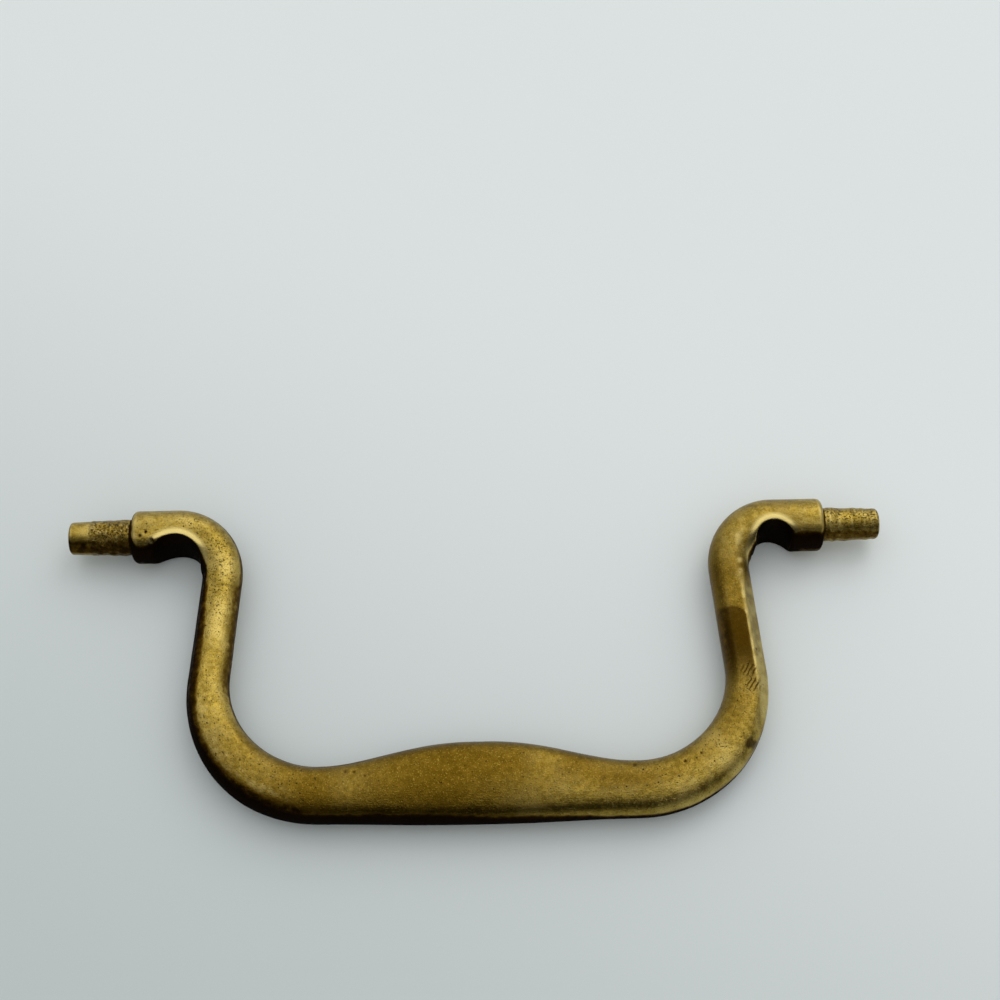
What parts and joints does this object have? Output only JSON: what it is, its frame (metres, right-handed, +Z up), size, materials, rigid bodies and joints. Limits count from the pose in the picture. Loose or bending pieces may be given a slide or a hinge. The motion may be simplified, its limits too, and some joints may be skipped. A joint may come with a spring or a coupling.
{
  "type": "swan-neck bail pull handle",
  "caption": "Cast brass swan-neck bail for a drawer pull: curved necks, splayed arms and a swelled finger grip, with collared end pins that swing in posts.",
  "frame": {"origin": "on the surface that the bail lies on, under the middle of its outline", "axes": "+X along the pins to the right, +Y from the grip towards the pins, +Z up off the surface"},
  "size_m": [0.106, 0.0428, 0.007],
  "materials": {
    "aged_brass": "cast and filed brass, worn satin, darkened by tarnish on its sides and in its hollows"
  },
  "bodies": {
    "root": {"bail": "aged_brass"}
  },
  "joints": []
}
